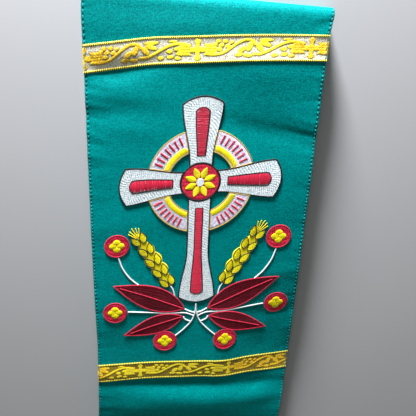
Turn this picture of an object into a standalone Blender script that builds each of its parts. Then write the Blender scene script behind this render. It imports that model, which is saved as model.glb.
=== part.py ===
"""A priest's stole, folded and laid flat with one embroidered end on top.

The strip of cloth starts at the hem of the upper end, which lies on the floor. It climbs over the folded
bundle, runs along its top, turns down round the thick fold at +Y, comes back along the floor and turns up
round the small fold at -Y. Metres, +Z up, floor at z = 0, the stole's length along Y.
"""

import math

import bmesh
import bpy

MM = 0.001

# Sizes of the cloth, its bands and its embroidery
STOLE_WIDTH = 150 * MM
CLOTH_WALL = 1.8 * MM
SEAM_GAP = 0.45 * MM
END_BELOW_BAND = 112 * MM
BAND_WIDTH = 16.2 * MM
BAND_WALL = 0.9 * MM
LOWER_BAND = 1 * MM
UPPER_BAND = 239.2 * MM
STITCHING_WALL = 0.8 * MM

# The upper layer's underside, with y counted from the lower band
LOWER_BAND_Y = -78.823 * MM
CENTRE_X = 3.862 * MM
TOP_HEIGHT = 17.2 * MM
PATH_START = -130 * MM
FLOOR_ENDS = -102 * MM
TOP_STARTS = -44.6 * MM
CREST = {"y": -27.4 * MM, "width": 6.5 * MM, "height": 1.25 * MM}
SHOULDER = {"y": -35 * MM, "width": 11 * MM, "height": 2.2 * MM}
VALLEY = {"y": -14.9 * MM, "width": 5.9 * MM, "height": -1.5 * MM}
BIG_FOLD_Y = 260 * MM
BIG_FOLD_TURN = (TOP_HEIGHT - CLOTH_WALL) / 2
SMALL_FOLD_Y = -18 * MM
SMALL_FOLD_TURN = 2.5 * MM
TAIL_LENGTH = 9 * MM
PATH_STEP = 1 * MM

# How the weave is drawn out of square, and how the bundle sinks at its front right corner
SKEW = 0.087
UPPER_SKEW = 0.034
SKEW_FADES = 60 * MM
UPPER_BAND_BOW = -0.44
FOLD_SLANT = 0.035
FOLD_SLANT_LENGTH = 110 * MM
CORNER_SINK = 0.41
CORNER_SINK_X = (16 * MM, 75 * MM)
CORNER_SINK_Y = (0, 72 * MM)
CORNER_SINK_CURVE = 1.05
LOWER_BEND_LENGTH = 40 * MM

# Small bends in the two bands' run: middle across the stole, width and height
BEND_COLUMNS = ("x", "width", "height")
LOWER_BENDS = ((-32, 30, 1.3), (26, 12, -1.3))
UPPER_BENDS = ((-33, 18, 0.8),)

# How the strip widens and swings sideways towards its end and at the thick fold, and its sway between
END_FLARE = 0.045
END_SHIFT = -6 * MM
END_FLARE_STARTS = -26 * MM
FOLD_FLARE = 0.006
FOLD_SHIFT = 1.2 * MM
FOLD_FLARE_Y = (-9 * MM, 7 * MM)
SWAY = 0.85 * MM
SWAY_Y = (25 * MM, 50 * MM)

# Soft folds of the upper layer: middle, direction in degrees from +X, length and width of the swell, height
SOFT_FOLD_COLUMNS = ("x", "y", "turn", "length", "width", "height")
SOFT_FOLDS = (
    (-62, 222, 8, 34, 9, -0.8),
    (-58, 206, 4, 30, 8, 0.9),
    (-64, 184, -6, 26, 8, -0.8),
    (-60, 120, 10, 34, 12, 0.8),
    (60, 190, -28, 42, 10, -0.85),
    (52, 172, -24, 40, 10, 0.8),
    (58, 34, 52, 36, 9, -0.85),
    (-40, 20, -8, 50, 12, -0.7),
    (20, 12, 3, 70, 9, 0.6),
    (-20, 252, 2, 80, 8, 0.7),
    (-66, -28, 0, 27, 8, -2.0),
    (60, -24, 0, 34, 7, 1.4),
)

# The layers inside, from the lowest up: height of the underside, how far the layer reaches towards -Y,
# half its width and its shift to the side
LAYER_COLUMNS = ("low", "front", "half_width", "shift")
LAYERS = (
    (2.25, -19.8, 72.6, 0.6),
    (4.35, -19.8, 72.0, -0.9),
    (6.4, -8.0, 73.0, 0.3),
    (9.1, -26.5, 72.2, -0.6),
    (11.4, -26.5, 72.8, 0.9),
    (13.6, -22.0, 71.6, -1.2),
)
LAYERS_TOP = 15.9 * MM
VALLEY_GAP = 1.0 * MM
LAYER_GROOVE = 2.4 * MM
LAYER_CORNER = 2.5 * MM
LAYER_ROUNDING = ((0.06, 0.75), (0.2, 0.2), (0.5, 0.0), (0.8, 0.2), (0.94, 0.75))

# Points across the strip, and the number of rows in each stretch of it, from the hem to the tail
ACROSS_STEPS = 18
LAYER_STEPS = (8, 22)
LAYER_ROWS_CURVE = 1.6
ROW_STEPS = {
    "hem": 2,
    "slope": 9,
    "crest": 11,
    "lower_band": 3,
    "middle": 25,
    "upper_band": 3,
    "above_band": 3,
    "big_fold": 10,
    "fold_exit": 4,
    "underside": 5,
    "small_fold": 6,
    "tail": 1,
}

# The embroidered cross: its centre, its arms by turn in degrees and length in mm, and the ring between them
CROSS_V = 155 * MM
ARMS = {"right": (0, 50), "top": (90, 52), "left": (180, 50), "foot": (270, 88)}
ARM_HALF_WIDTH = 7.5 * MM
ARM_FLARE = 5.5 * MM
ARM_FLARE_LENGTH = 38 * MM
ARM_END_BULGE = 4.5 * MM
ROSETTE_RADIUS = 13 * MM
RING_RADII = (22 * MM, 36 * MM)

# Leaves, wheat ears and flowers beside the cross's foot, made on the right and repeated on the left
SPRAY_COLUMNS = ("kind", "x", "v", "turn", "length", "width")
SPRAY = (
    ("leaf_long", 9, 57, 24, 56, 19),
    ("leaf_short", 10, 50, -18, 46, 15),
    ("wheat_ear", 19, 77, 60, 50, 13),
    ("flower_high", 57, 112, 0, 0, 17),
    ("flower_side", 60, 57, 0, 0, 17),
    ("flower_low", 23, 28.5, 0, 0, 17),
)


def rows_as_dicts(columns, rows):
    return [dict(zip(columns, row)) for row in rows]


def smooth_step(value, start, end):
    t = min(max((value - start) / (end - start), 0.0), 1.0)
    return t * t * (3 - 2 * t)


def swell(value, middle, width):
    return math.exp(-(((value - middle) / width) ** 2))


def underside_height(y):
    """Height of the upper layer's underside, y counted from the lower band."""
    height = TOP_HEIGHT * smooth_step(y, FLOOR_ENDS, TOP_STARTS)
    for bump in (CREST, SHOULDER, VALLEY):
        height += bump["height"] * swell(y, bump["y"], bump["width"])
    return max(height, 0.0)


def half_turn(centre_y, centre_z, radius, first_angle):
    """Half a turn, clockwise when seen from +X with +Y to the right."""
    steps = max(8, round(math.pi * radius / PATH_STEP))
    angles = [first_angle - math.pi * i / steps for i in range(1, steps)]
    return [(centre_y + radius * math.cos(a), centre_z + radius * math.sin(a)) for a in angles]


def strip_path():
    """The line of the strip's inner face in the YZ plane, from the hem to the tail."""
    count = round((BIG_FOLD_Y - PATH_START) / PATH_STEP)
    upper = [PATH_START + (BIG_FOLD_Y - PATH_START) * i / count for i in range(count + 1)]
    line = [(y, underside_height(y)) for y in upper]
    line += half_turn(BIG_FOLD_Y, CLOTH_WALL + BIG_FOLD_TURN, BIG_FOLD_TURN, math.pi / 2)
    line += [(BIG_FOLD_Y, CLOTH_WALL), (SMALL_FOLD_Y, CLOTH_WALL)]
    line += half_turn(SMALL_FOLD_Y, CLOTH_WALL + SMALL_FOLD_TURN, SMALL_FOLD_TURN, -math.pi / 2)
    tail_z = CLOTH_WALL + 2 * SMALL_FOLD_TURN
    line += [(SMALL_FOLD_Y, tail_z), (SMALL_FOLD_Y + TAIL_LENGTH, tail_z)]
    return line


class StripPath:
    """Gives the point and the outward direction at a length along the strip, 0 above the lower band."""

    def __init__(self):
        self.line = strip_path()
        lengths = [0.0]
        for (y0, z0), (y1, z1) in zip(self.line, self.line[1:]):
            lengths.append(lengths[-1] + math.hypot(y1 - y0, z1 - z0))
        at_band = next(i for i, (y, _) in enumerate(self.line) if y >= 0)
        self.lengths = [length - lengths[at_band] for length in lengths]
        self.normals = [self.corner_normal(i) for i in range(len(self.line))]

    def corner_normal(self, i):
        before = self.line[max(i - 1, 0)]
        after = self.line[min(i + 1, len(self.line) - 1)]
        along_y, along_z = after[0] - before[0], after[1] - before[1]
        size = math.hypot(along_y, along_z)
        return -along_z / size, along_y / size

    def at(self, length):
        length = min(max(length, self.lengths[0]), self.lengths[-1])
        low, high = 0, len(self.lengths) - 1
        while high - low > 1:
            middle = (low + high) // 2
            if self.lengths[middle] <= length:
                low = middle
            else:
                high = middle
        t = (length - self.lengths[low]) / (self.lengths[high] - self.lengths[low])
        y, z = [a + (b - a) * t for a, b in zip(self.line[low], self.line[high])]
        out_y, out_z = [a + (b - a) * t for a, b in zip(self.normals[low], self.normals[high])]
        size = math.hypot(out_y, out_z)
        return y, z, out_y / size, out_z / size

    def length_at(self, y):
        """Length along the strip where its upper layer passes y."""
        return next(length for length, (line_y, _) in zip(self.lengths, self.line) if line_y >= y)


PATH = StripPath()


def bend(u, bends):
    """How far the small bends move a band along the strip."""
    rows = rows_as_dicts(BEND_COLUMNS, bends)
    return sum(row["height"] * MM * swell(u, row["x"] * MM, row["width"] * MM) for row in rows)


def drift(u, v):
    """How far the weave is drawn along the strip, out of square."""
    fade = 1 - smooth_step(v, UPPER_BAND, UPPER_BAND + SKEW_FADES)
    lower = bend(u, LOWER_BENDS) * swell(v, LOWER_BAND, LOWER_BEND_LENGTH)
    upper = UPPER_SKEW * u + UPPER_BAND_BOW * u * u + bend(u, UPPER_BENDS)
    return (SKEW * u + lower + upper * smooth_step(v, LOWER_BAND, UPPER_BAND)) * fade


def soft_fold_height(x, y):
    """Height that the soft folds add to the upper layer, y counted from the lower band."""
    total = 0.0
    for fold in rows_as_dicts(SOFT_FOLD_COLUMNS, SOFT_FOLDS):
        turn = math.radians(fold["turn"])
        dx, dy = x - fold["x"] * MM, y - fold["y"] * MM
        along = dx * math.cos(turn) + dy * math.sin(turn)
        across = dy * math.cos(turn) - dx * math.sin(turn)
        size = swell(along, 0, fold["length"] * MM) * swell(across, 0, fold["width"] * MM)
        total += fold["height"] * MM * size
    return total * smooth_step(y, FLOOR_ENDS, TOP_STARTS)


def settle(x, y, z):
    """Brings a point of the straight bundle to where it lies: slanted fold, sunk corner, own origin."""
    first_x, last_x = CORNER_SINK_X
    sink_x = min(max((x - first_x) / (last_x - first_x), 0.0), 1.0)
    sink = CORNER_SINK * sink_x**CORNER_SINK_CURVE * swell(y, *CORNER_SINK_Y)
    slant = FOLD_SLANT * x * smooth_step(y, BIG_FOLD_Y - FOLD_SLANT_LENGTH, BIG_FOLD_Y)
    flare_start, flare_end = FOLD_FLARE_Y
    near_fold = smooth_step(y, BIG_FOLD_Y + flare_start, BIG_FOLD_Y + flare_end)
    x = x * (1 + FOLD_FLARE * near_fold) + FOLD_SHIFT * near_fold + SWAY * swell(y, *SWAY_Y)
    return x + CENTRE_X, y - slant + LOWER_BAND_Y, z * (1 - sink)


def on_cloth(u, v, lift):
    """A point of the strip: u across it, v along it from the lower band, lift out from its inner face."""
    y, z, out_y, out_z = PATH.at(v + drift(u, v))
    near_end = 1 - smooth_step(v, -END_BELOW_BAND, END_FLARE_STARTS)
    x = u * (1 + END_FLARE * near_end) + END_SHIFT * near_end
    if v < BIG_FOLD_Y + 30 * MM:
        z += soft_fold_height(x, y) * max(out_z, 0.0)
    return settle(x, y + out_y * lift, z + out_z * lift)


def strip_rows():
    """Lengths along the strip of its rows of points, one list for each stretch."""
    big_start = PATH.length_at(BIG_FOLD_Y)
    big_end = big_start + math.pi * BIG_FOLD_TURN
    small_start = big_end + BIG_FOLD_Y - SMALL_FOLD_Y
    small_end = small_start + math.pi * SMALL_FOLD_TURN
    half_band = BAND_WIDTH / 2
    stops = [-END_BELOW_BAND, PATH.length_at(FLOOR_ENDS), PATH.length_at(TOP_STARTS)]
    stops += [LOWER_BAND - half_band, LOWER_BAND + half_band]
    stops += [UPPER_BAND - half_band, UPPER_BAND + half_band]
    stops += [big_start, big_end, UPPER_BAND + SKEW_FADES]
    stops += [small_start, small_end, small_end + TAIL_LENGTH]
    rows = {}
    for (name, steps), start, end in zip(ROW_STEPS.items(), stops, stops[1:]):
        rows[name] = [start + (end - start) * i / steps for i in range(steps + 1)]
    return rows


ROWS = strip_rows()
COLUMNS = [STOLE_WIDTH * (i / ACROSS_STEPS - 0.5) for i in range(ACROSS_STEPS + 1)]


def material(name, colour, roughness, metallic=0.0):
    made = bpy.data.materials.new(name)
    made.use_nodes = True
    shader = made.node_tree.nodes["Principled BSDF"]
    shader.inputs["Base Color"].default_value = (*colour, 1)
    shader.inputs["Roughness"].default_value = roughness
    shader.inputs["Metallic"].default_value = metallic
    return made


def add_object(name, mesh_data, finish, parent):
    mesh = bpy.data.meshes.new(name)
    mesh_data.to_mesh(mesh)
    mesh_data.free()
    mesh.materials.append(finish)
    parent.objects.link(bpy.data.objects.new(name, mesh))


def wrap(flat, low, high):
    """Makes a flat mesh a closed wall and lays it on the strip. Flat x is across it, flat y along it."""
    bmesh.ops.remove_doubles(flat, verts=flat.verts, dist=0.02 * MM)
    raised = bmesh.ops.extrude_face_region(flat, geom=flat.faces[:])["geom"]
    upper = {item for item in raised if isinstance(item, bmesh.types.BMVert)}
    for vert in upper:
        vert.co.z = MM
    bmesh.ops.recalc_face_normals(flat, faces=flat.faces)
    for vert in flat.verts:
        vert.co = on_cloth(vert.co.x, vert.co.y, high if vert in upper else low)
    bmesh.ops.triangulate(flat, faces=flat.faces)
    return flat


def strip_grid(rows):
    """A flat grid as wide as the strip, with its rows at the given lengths along it."""
    flat = bmesh.new()
    bmesh.ops.create_grid(flat, x_segments=ACROSS_STEPS, y_segments=len(rows) - 1, size=1)
    for vert in flat.verts:
        row = round((vert.co.y + 1) / 2 * (len(rows) - 1))
        vert.co.x *= STOLE_WIDTH / 2
        vert.co.y = rows[row]
    return flat


def front_panel(parent, cloth):
    """The end with the embroidery, the thick fold at +Y and the layer that lies on the floor."""
    rows = [-END_BELOW_BAND]
    for stretch in ROWS.values():
        rows += stretch[1:]
    add_object("front_panel", wrap(strip_grid(rows), 0, CLOTH_WALL), cloth, parent)


def galloon(name, rows, parent, braid):
    """A woven gold band laid across the panel from edge to edge."""
    low = CLOTH_WALL + SEAM_GAP
    add_object(name, wrap(strip_grid(rows), low, low + BAND_WALL), braid, parent)


def top_of_layers(y):
    """Height of the uppermost hidden layer, clear of the valley in the cloth above."""
    return min(LAYERS_TOP, underside_height(y) - VALLEY_GAP)


def big_fold_reach(z):
    """How far the layers reach inside the thick fold at height z."""
    radius = BIG_FOLD_TURN - SEAM_GAP
    rise = z - (CLOTH_WALL + BIG_FOLD_TURN)
    return BIG_FOLD_Y + math.sqrt(max(radius**2 - rise**2, 0.0))


def layer_levels():
    """Levels of the hidden block from the lowest up: height, front, back, half width and shift."""
    layers = rows_as_dicts(LAYER_COLUMNS, LAYERS)
    tops = [layer["low"] * MM for layer in layers[1:]] + [LAYERS_TOP]
    levels = []
    for layer, top in zip(layers, tops):
        low = layer["low"] * MM
        for share, pinch in LAYER_ROUNDING:
            z = low + (top - low) * share
            inset = LAYER_GROOVE * pinch
            front = layer["front"] * MM + inset
            back = big_fold_reach(z) - inset / 2
            levels.append((z, front, back, layer["half_width"] * MM - inset, layer["shift"] * MM))
    return levels


def folded_layers(parent, cloth):
    """The rest of the stole, folded inside: one soft block with a groove between its layers."""
    levels = layer_levels()
    block = bmesh.new()
    across, along = LAYER_STEPS
    bmesh.ops.create_grid(block, x_segments=across, y_segments=along, size=1)
    top_faces = block.faces[:]
    for number in range(1, len(levels)):
        raised = bmesh.ops.extrude_face_region(block, geom=top_faces)["geom"]
        if number > 1:
            bmesh.ops.delete(block, geom=top_faces, context="FACES")
        top_faces = [item for item in raised if isinstance(item, bmesh.types.BMFace)]
        for vert in {vert for face in top_faces for vert in face.verts}:
            vert.co.z = number
    bmesh.ops.recalc_face_normals(block, faces=block.faces)
    for vert in block.verts:
        number = round(vert.co.z)
        z, front, back, half_width, shift = levels[number]
        if vert.co.y < -0.999:
            half_width -= LAYER_CORNER
        x = shift + half_width * vert.co.x
        y = front + (back - front) * ((vert.co.y + 1) / 2) ** LAYER_ROWS_CURVE
        if number == len(levels) - 1:
            z = min(z, top_of_layers(y))
        vert.co = settle(x, y, z)
    bmesh.ops.triangulate(block, faces=block.faces)
    add_object("folded_layers", block, cloth, parent)


def embroidered(name, outline, parent, thread):
    """A raised piece of embroidery on the panel, cut along the panel's own rows and columns."""
    flat = bmesh.new()
    ring = bmesh.ops.create_circle(flat, segments=len(outline), radius=1, cap_ends=True)["verts"]
    for vert, (u, v) in zip(ring, outline):
        vert.co = (u, v, 0)
    bmesh.ops.triangulate(flat, faces=flat.faces)
    cuts = [((0, v, 0), (0, 1, 0)) for v in ROWS["middle"]] + [((u, 0, 0), (1, 0, 0)) for u in COLUMNS]
    for point, normal in cuts:
        cells = flat.verts[:] + flat.edges[:] + flat.faces[:]
        bmesh.ops.bisect_plane(flat, geom=cells, plane_co=point, plane_no=normal, dist=0.01 * MM)
    low = CLOTH_WALL + SEAM_GAP
    add_object(name, wrap(flat, low, low + STITCHING_WALL), thread, parent)


def turned(points, turn, u, v):
    """Points of an outline turned by degrees about their start and moved to u, v."""
    cos, sin = math.cos(math.radians(turn)), math.sin(math.radians(turn))
    return [(u + a * cos - b * sin, v + a * sin + b * cos) for a, b in points]


def arm_half_width(along, length):
    return ARM_HALF_WIDTH + ARM_FLARE * smooth_step(along, length - ARM_FLARE_LENGTH, length)


def arm_outline(length):
    """An arm that points along +X from the rosette, flared, with a bulging end."""
    radius = ROSETTE_RADIUS + SEAM_GAP
    spread = math.asin(ARM_HALF_WIDTH / radius)
    angles = [spread * (1 - i / 3) for i in range(7)]
    inner = [(radius * math.cos(a), radius * math.sin(a)) for a in angles]
    start = inner[0][0]
    sides = [start + (length - start) * i / 8 for i in range(1, 8)]
    shares = [i / 4 - 1 for i in range(9)]
    end_width = ARM_HALF_WIDTH + ARM_FLARE
    end = [(length + ARM_END_BULGE * (1 - w * w), end_width * w) for w in shares]
    lower = [(a, -arm_half_width(a, length)) for a in sides]
    upper = [(a, arm_half_width(a, length)) for a in reversed(sides)]
    return inner + lower + end + upper


def arc(start, end, radius, steps):
    """Points on a circle about the origin, between the directions of two points, without its ends."""
    low, high = math.atan2(start[1], start[0]), math.atan2(end[1], end[0])
    angles = [low + (high - low) * i / steps for i in range(1, steps)]
    return [(radius * math.cos(a), radius * math.sin(a)) for a in angles]


def ring_side(length):
    """Points beside an arm that points along +X, from the ring's inner edge to its outer one."""
    reach = []
    for radius in RING_RADII:
        beside = arm_half_width(radius, length) + SEAM_GAP
        reach.append(math.sqrt(radius**2 - beside**2))
    steps = [reach[0] + (reach[1] - reach[0]) * i / 3 for i in range(4)]
    return [(a, arm_half_width(a, length) + SEAM_GAP) for a in steps]


def quarter_outline(first_length, next_length):
    """The part of the ring between an arm along +X and the next arm, along +Y."""
    first = ring_side(first_length)
    last = [(b, a) for a, b in ring_side(next_length)]
    outer = arc(first[-1], last[-1], RING_RADII[1], 6)
    inner = arc(last[0], first[0], RING_RADII[0], 4)
    return first + outer + last[::-1] + inner


def leaf_outline(length, width):
    shares = [i / 9 for i in range(10)]
    upper = [(length * t, width / 2 * math.sin(math.pi * t**0.8)) for t in shares]
    return [(a, -b) for a, b in upper] + upper[-2:0:-1]


def ear_outline(length, width):
    """A wheat ear: five pairs of grains and a pointed tip."""
    upper = []
    for t in [i / 20 for i in range(21)]:
        grain = 0.72 + 0.28 * abs(math.sin(5 * math.pi * t))
        fullness = max(math.sin(math.pi * t**0.85), 0.0) ** 0.5
        upper.append((length * t, width / 2 * grain * fullness))
    return [(a, -b) for a, b in upper] + upper[-2:0:-1]


def disc_outline(radius):
    angles = [i * math.pi / 10 for i in range(20)]
    return [(radius * math.cos(a), radius * math.sin(a)) for a in angles]


def cross(parent, silver, lilac, crimson):
    """The ringed cross with a rosette at its crossing."""
    arms = list(ARMS.items())
    for i, (name, (turn, length)) in enumerate(arms):
        outline = turned(arm_outline(length * MM), turn, 0, CROSS_V)
        embroidered(f"cross_arm_{name}", outline, parent, silver)
        next_length = arms[(i + 1) % len(arms)][1][1]
        outline = turned(quarter_outline(length * MM, next_length * MM), turn, 0, CROSS_V)
        embroidered(f"ring_quarter_{i + 1}", outline, parent, lilac)
    embroidered("rosette", turned(disc_outline(ROSETTE_RADIUS), 0, 0, CROSS_V), parent, crimson)


def spray(parent, threads):
    """Leaves, wheat ears and flowers on both sides of the cross's foot."""
    for piece in rows_as_dicts(SPRAY_COLUMNS, SPRAY):
        kind = piece["kind"]
        length, width = piece["length"] * MM, piece["width"] * MM
        if kind.startswith("leaf"):
            outline = leaf_outline(length, width)
        elif kind.startswith("wheat"):
            outline = ear_outline(length, width)
        else:
            outline = disc_outline(width / 2)
        placed = turned(outline, piece["turn"], piece["x"] * MM, piece["v"] * MM)
        thread = threads[kind.split("_")[0]]
        embroidered(f"{kind}_right", placed, parent, thread)
        embroidered(f"{kind}_left", [(-u, v) for u, v in reversed(placed)], parent, thread)


def main():
    for old in list(bpy.data.objects):
        bpy.data.objects.remove(old)
    stole = bpy.data.collections.new("folded_stole")
    bpy.context.scene.collection.children.link(stole)
    cloth = material("green_gabardine", (0.0, 0.25, 0.24), 0.6)
    braid = material("gold_galloon", (0.75, 0.52, 0.08), 0.38, 0.6)
    silver = material("silver_thread", (0.62, 0.72, 0.74), 0.42)
    lilac = material("lilac_thread", (0.68, 0.63, 0.74), 0.45)
    crimson = material("crimson_thread", (0.55, 0.02, 0.05), 0.45)
    dark_red = material("dark_red_thread", (0.16, 0.0, 0.01), 0.5)
    yellow = material("yellow_thread", (0.9, 0.75, 0.0), 0.45)
    front_panel(stole, cloth)
    folded_layers(stole, cloth)
    galloon("galloon_lower", ROWS["lower_band"], stole, braid)
    galloon("galloon_upper", ROWS["upper_band"], stole, braid)
    cross(stole, silver, lilac, crimson)
    spray(stole, {"leaf": dark_red, "wheat": yellow, "flower": crimson})


main()
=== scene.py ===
import math

import bmesh
import bpy
import numpy as np
from mathutils import Matrix


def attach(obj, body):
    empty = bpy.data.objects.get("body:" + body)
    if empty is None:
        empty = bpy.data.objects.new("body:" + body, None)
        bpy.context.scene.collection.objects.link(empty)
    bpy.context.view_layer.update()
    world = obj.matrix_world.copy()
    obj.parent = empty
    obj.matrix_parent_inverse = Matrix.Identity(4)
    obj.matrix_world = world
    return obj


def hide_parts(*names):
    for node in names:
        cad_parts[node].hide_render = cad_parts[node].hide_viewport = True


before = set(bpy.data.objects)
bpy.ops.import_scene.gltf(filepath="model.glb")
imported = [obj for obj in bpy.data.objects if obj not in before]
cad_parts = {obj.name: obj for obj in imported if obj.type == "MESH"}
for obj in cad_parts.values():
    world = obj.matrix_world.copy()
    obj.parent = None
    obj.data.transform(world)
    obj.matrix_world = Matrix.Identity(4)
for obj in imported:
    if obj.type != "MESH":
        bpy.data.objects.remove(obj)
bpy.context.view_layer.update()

mm = 0.001
dice = np.random.default_rng(11)
sides = (-1, 1)

# Everything is first made flat, in millimetres: x across the stole, y along it from the lower gold band,
# z out from the cloth's inner face. It is then laid on the folded strip.
stole = {"halfWidth": 75, "wall": 1.8, "hemAt": -112, "lowerBand": 1, "upperBand": 239.2, "bandWidth": 16.2}

# how the upper layer lies, y counted from the lower band
lie = {
    "centreX": 3.862, "lowerBandY": -78.823, "topHeight": 17.2,
    "pathStart": -130, "floorEnds": -102, "topStarts": -44.6,
    "bigFoldY": 260, "bigFoldRoundness": 0.6, "smallFoldY": -18, "smallFoldTurn": 2.5, "tail": 9,
    "skew": 0.087, "upperSkew": 0.034, "skewFades": 60, "bandBow": -0.00044,
    "foldSlant": 0.035, "slantLength": 110, "foldFlare": 0.006, "foldShift": 1.2, "flareY": (-9, 7),
    "cornerSink": 0.41, "sinkX": (16, 75), "sinkY": (0, 72), "sinkCurve": 1.05,
    "endFlare": 0.045, "endShift": -6, "flareStarts": -26, "sway": (25, 50, 0.85),
}
# small bends of the two bands: middle across, width, height
lowerBends = [(-32, 30, 1.3), (26, 12, -1.3)]
upperBends = [(-33, 18, 0.8)]
lie["bigFoldTurn"] = (lie["topHeight"] - stole["wall"]) / 2
# rises and dips of the layer between the lower band and the floor
swells = [
    {"y": -27.4, "width": 6.5, "height": 1.25}, {"y": -35, "width": 11, "height": 2.2},
    {"y": -14.9, "width": 5.9, "height": -1.5},
]

# soft folds: middle x and y, turn in degrees from +X, length, width, height
softFolds = [
    (-62, 222, 8, 34, 9, -0.8), (-58, 206, 4, 30, 8, 0.9), (-64, 184, -6, 26, 8, -0.8),
    (-60, 120, 10, 34, 12, 0.8), (60, 190, -28, 42, 10, -0.85), (52, 172, -24, 40, 10, 0.8),
    (58, 34, 52, 36, 9, -0.85), (-40, 20, -8, 50, 12, -0.7), (20, 12, 3, 70, 9, 0.6),
    (-20, 252, 2, 80, 8, 0.7), (-66, -28, 0, 27, 8, -2.0), (60, -24, 0, 34, 7, 1.4),
]
# further rises and hollows of the same kind
softFolds += [
    (62, -18, 0, 30, 5, 0.75), (-64, 200, 0, 30, 8, -0.85), (-50, 225, 12, 30, 5, -1.1),
    (-71, -14, 0, 30, 12, 1.1), (6, -10, 0, 14, 8, -0.7), (34, 185, -30, 30, 12, -1.2),
    (69, -10, -30, 14, 12, 1.1), (69, 40, 30, 30, 12, 1.0), (41, 230, 0, 30, 12, 1.0),
    (-64, -42, -30, 14, 12, -1.1), (-36, 20, -12, 30, 12, 0.9), (-57, 185, 0, 30, 8, 0.75),
    (48, -18, 30, 14, 5, -0.6), (76, -26, 30, 14, 8, -0.9), (62, 120, 30, 30, 12, -0.7),
    (-64, 60, 0, 34, 30, 1.3), (62, -18, 30, 14, 8, 0.7), (-64, 200, 12, 30, 12, -0.6),
    (62, 55, 12, 14, 5, -0.8), (-71, -14, -30, 14, 12, 0.8), (48, 175, -30, 30, 12, -0.6),
    (-36, 256, 12, 30, 12, -0.6), (-57, 220, 12, 14, 5, -0.6), (69, 90, 12, 30, 5, 0.5),
    (76, -10, -30, 30, 8, 0.7), (46, 190, -12, 30, 6, -0.8),
]
# small puckers that run in from the side seams: side, y, how far in, spread, height, slant
puckers = [
    (-1, 259, 9, 2.4, 0.22, 0.3), (-1, 228, 12, 2.6, -0.3, 0.1), (-1, 219, 14, 2.2, 0.34, -0.1),
    (-1, 212, 15, 2.3, -0.42, -0.14), (-1, 202, 17, 2.4, 0.42, -0.1), (-1, 195, 13, 2.1, -0.36, -0.2),
    (-1, 185, 12, 2.2, 0.36, -0.4), (-1, 178, 11, 2.0, -0.3, -0.2), (-1, 170, 13, 2.3, 0.36, -0.2),
    (-1, 161, 9, 2.1, -0.24, 0.1), (-1, 143, 10, 2.6, 0.2, -0.2), (-1, 122, 9, 2.4, -0.2, 0.2),
    (-1, 97, 8, 2.2, 0.18, 0.1), (-1, 71, 10, 2.6, -0.2, -0.1), (-1, 50, 12, 2.0, -0.22, 0.05),
    (-1, 33, 9, 2.4, 0.2, 0.2), (-1, 18, 10, 2.2, -0.22, 0.1), (-1, -26, 12, 2.6, 0.3, -0.2),
    (-1, -44, 9, 2.8, -0.24, 0.1), (-1, -66, 8, 2.4, 0.2, 0.1),
    (1, 262, 10, 2.2, -0.4, -0.5), (1, 255, 12, 2.2, 0.3, -0.4), (1, 228, 9, 2.4, 0.2, 0.1),
    (1, 214, 10, 2.3, -0.26, -0.2), (1, 198, 14, 2.4, 0.26, 0.2), (1, 189, 22, 2.1, -0.6, 0.17),
    (1, 176, 12, 2.3, 0.26, 0.2), (1, 152, 9, 2.5, -0.2, 0.1), (1, 131, 8, 2.1, 0.18, -0.1),
    (1, 104, 10, 2.4, -0.2, 0.2), (1, 84, 9, 2.2, 0.2, 0.1), (1, 68, 16, 1.8, -0.26, -0.06),
    (1, 55, 20, 1.9, -0.24, -0.05), (1, 40, 11, 2.2, 0.24, -0.2), (1, 22, 12, 2.4, -0.26, -0.3),
    (1, -22, 12, 2.6, -0.3, 0.3), (1, -41, 9, 2.4, 0.24, 0.1), (1, -63, 8, 2.6, -0.2, 0.1),
]


def smoothStep(value, start, end):
    t = np.clip((value - start) / (end - start), 0, 1)
    return t * t * (3 - 2 * t)


def swell(value, middle, width):
    return np.exp(-(((value - middle) / width) ** 2))


def undersideHeight(y):
    height = lie["topHeight"] * smoothStep(y, lie["floorEnds"], lie["topStarts"])
    for bump in swells:
        height = height + bump["height"] * swell(y, bump["y"], bump["width"])
    return np.maximum(height, 0)


def turnBetween(y, lowZ, highZ, bulge, steps=16, roundness=1.0):
    # half a turn from one height to the next, bulging towards +Y or -Y, squarer where roundness is less
    angles = np.linspace(-math.pi / 2, math.pi / 2, steps + 1)[1:-1]
    radius = abs(highZ - lowZ) / 2
    middle, rise = (lowZ + highZ) / 2, (highZ - lowZ) / 2
    return [(y + bulge * radius * math.cos(a) ** roundness,
             middle + rise * math.copysign(abs(math.sin(a)) ** roundness, a)) for a in angles]


class Course:
    # a line in the YZ plane that a strip follows, read by the length along it
    def __init__(self, line, zeroAt=None):
        self.line = np.array(line)
        self.lengths = np.concatenate([[0], np.cumsum(np.hypot(*np.diff(self.line, axis=0).T))])
        if zeroAt is not None:
            self.lengths -= self.lengths[np.argmax(self.line[:, 0] >= zeroAt)]
        padded = np.vstack([self.line[:1], self.line, self.line[-1:]])
        along = padded[2:] - padded[:-2]
        self.out = np.stack([-along[:, 1], along[:, 0]], 1) / np.hypot(*along.T)[:, None]

    def at(self, length):
        y, z = [np.interp(length, self.lengths, column) for column in self.line.T]
        outY, outZ = [np.interp(length, self.lengths, column) for column in self.out.T]
        size = np.hypot(outY, outZ)
        return y, z, outY / size, outZ / size


def stripLine():
    wall, bigTurn, smallTurn = stole["wall"], lie["bigFoldTurn"], lie["smallFoldTurn"]
    upper = np.arange(lie["pathStart"], lie["bigFoldY"] + 0.5)
    tailZ = wall + 2 * smallTurn
    line = list(zip(upper, undersideHeight(upper)))
    line += turnBetween(lie["bigFoldY"], wall + 2 * bigTurn, wall, 1, 40, lie["bigFoldRoundness"])
    line += [(lie["bigFoldY"], wall), (lie["smallFoldY"], wall)]
    line += turnBetween(lie["smallFoldY"], wall, tailZ, -1)
    return line + [(lie["smallFoldY"], tailZ), (lie["smallFoldY"] + lie["tail"], tailZ)]


strip = Course(stripLine(), zeroAt=0)


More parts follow.
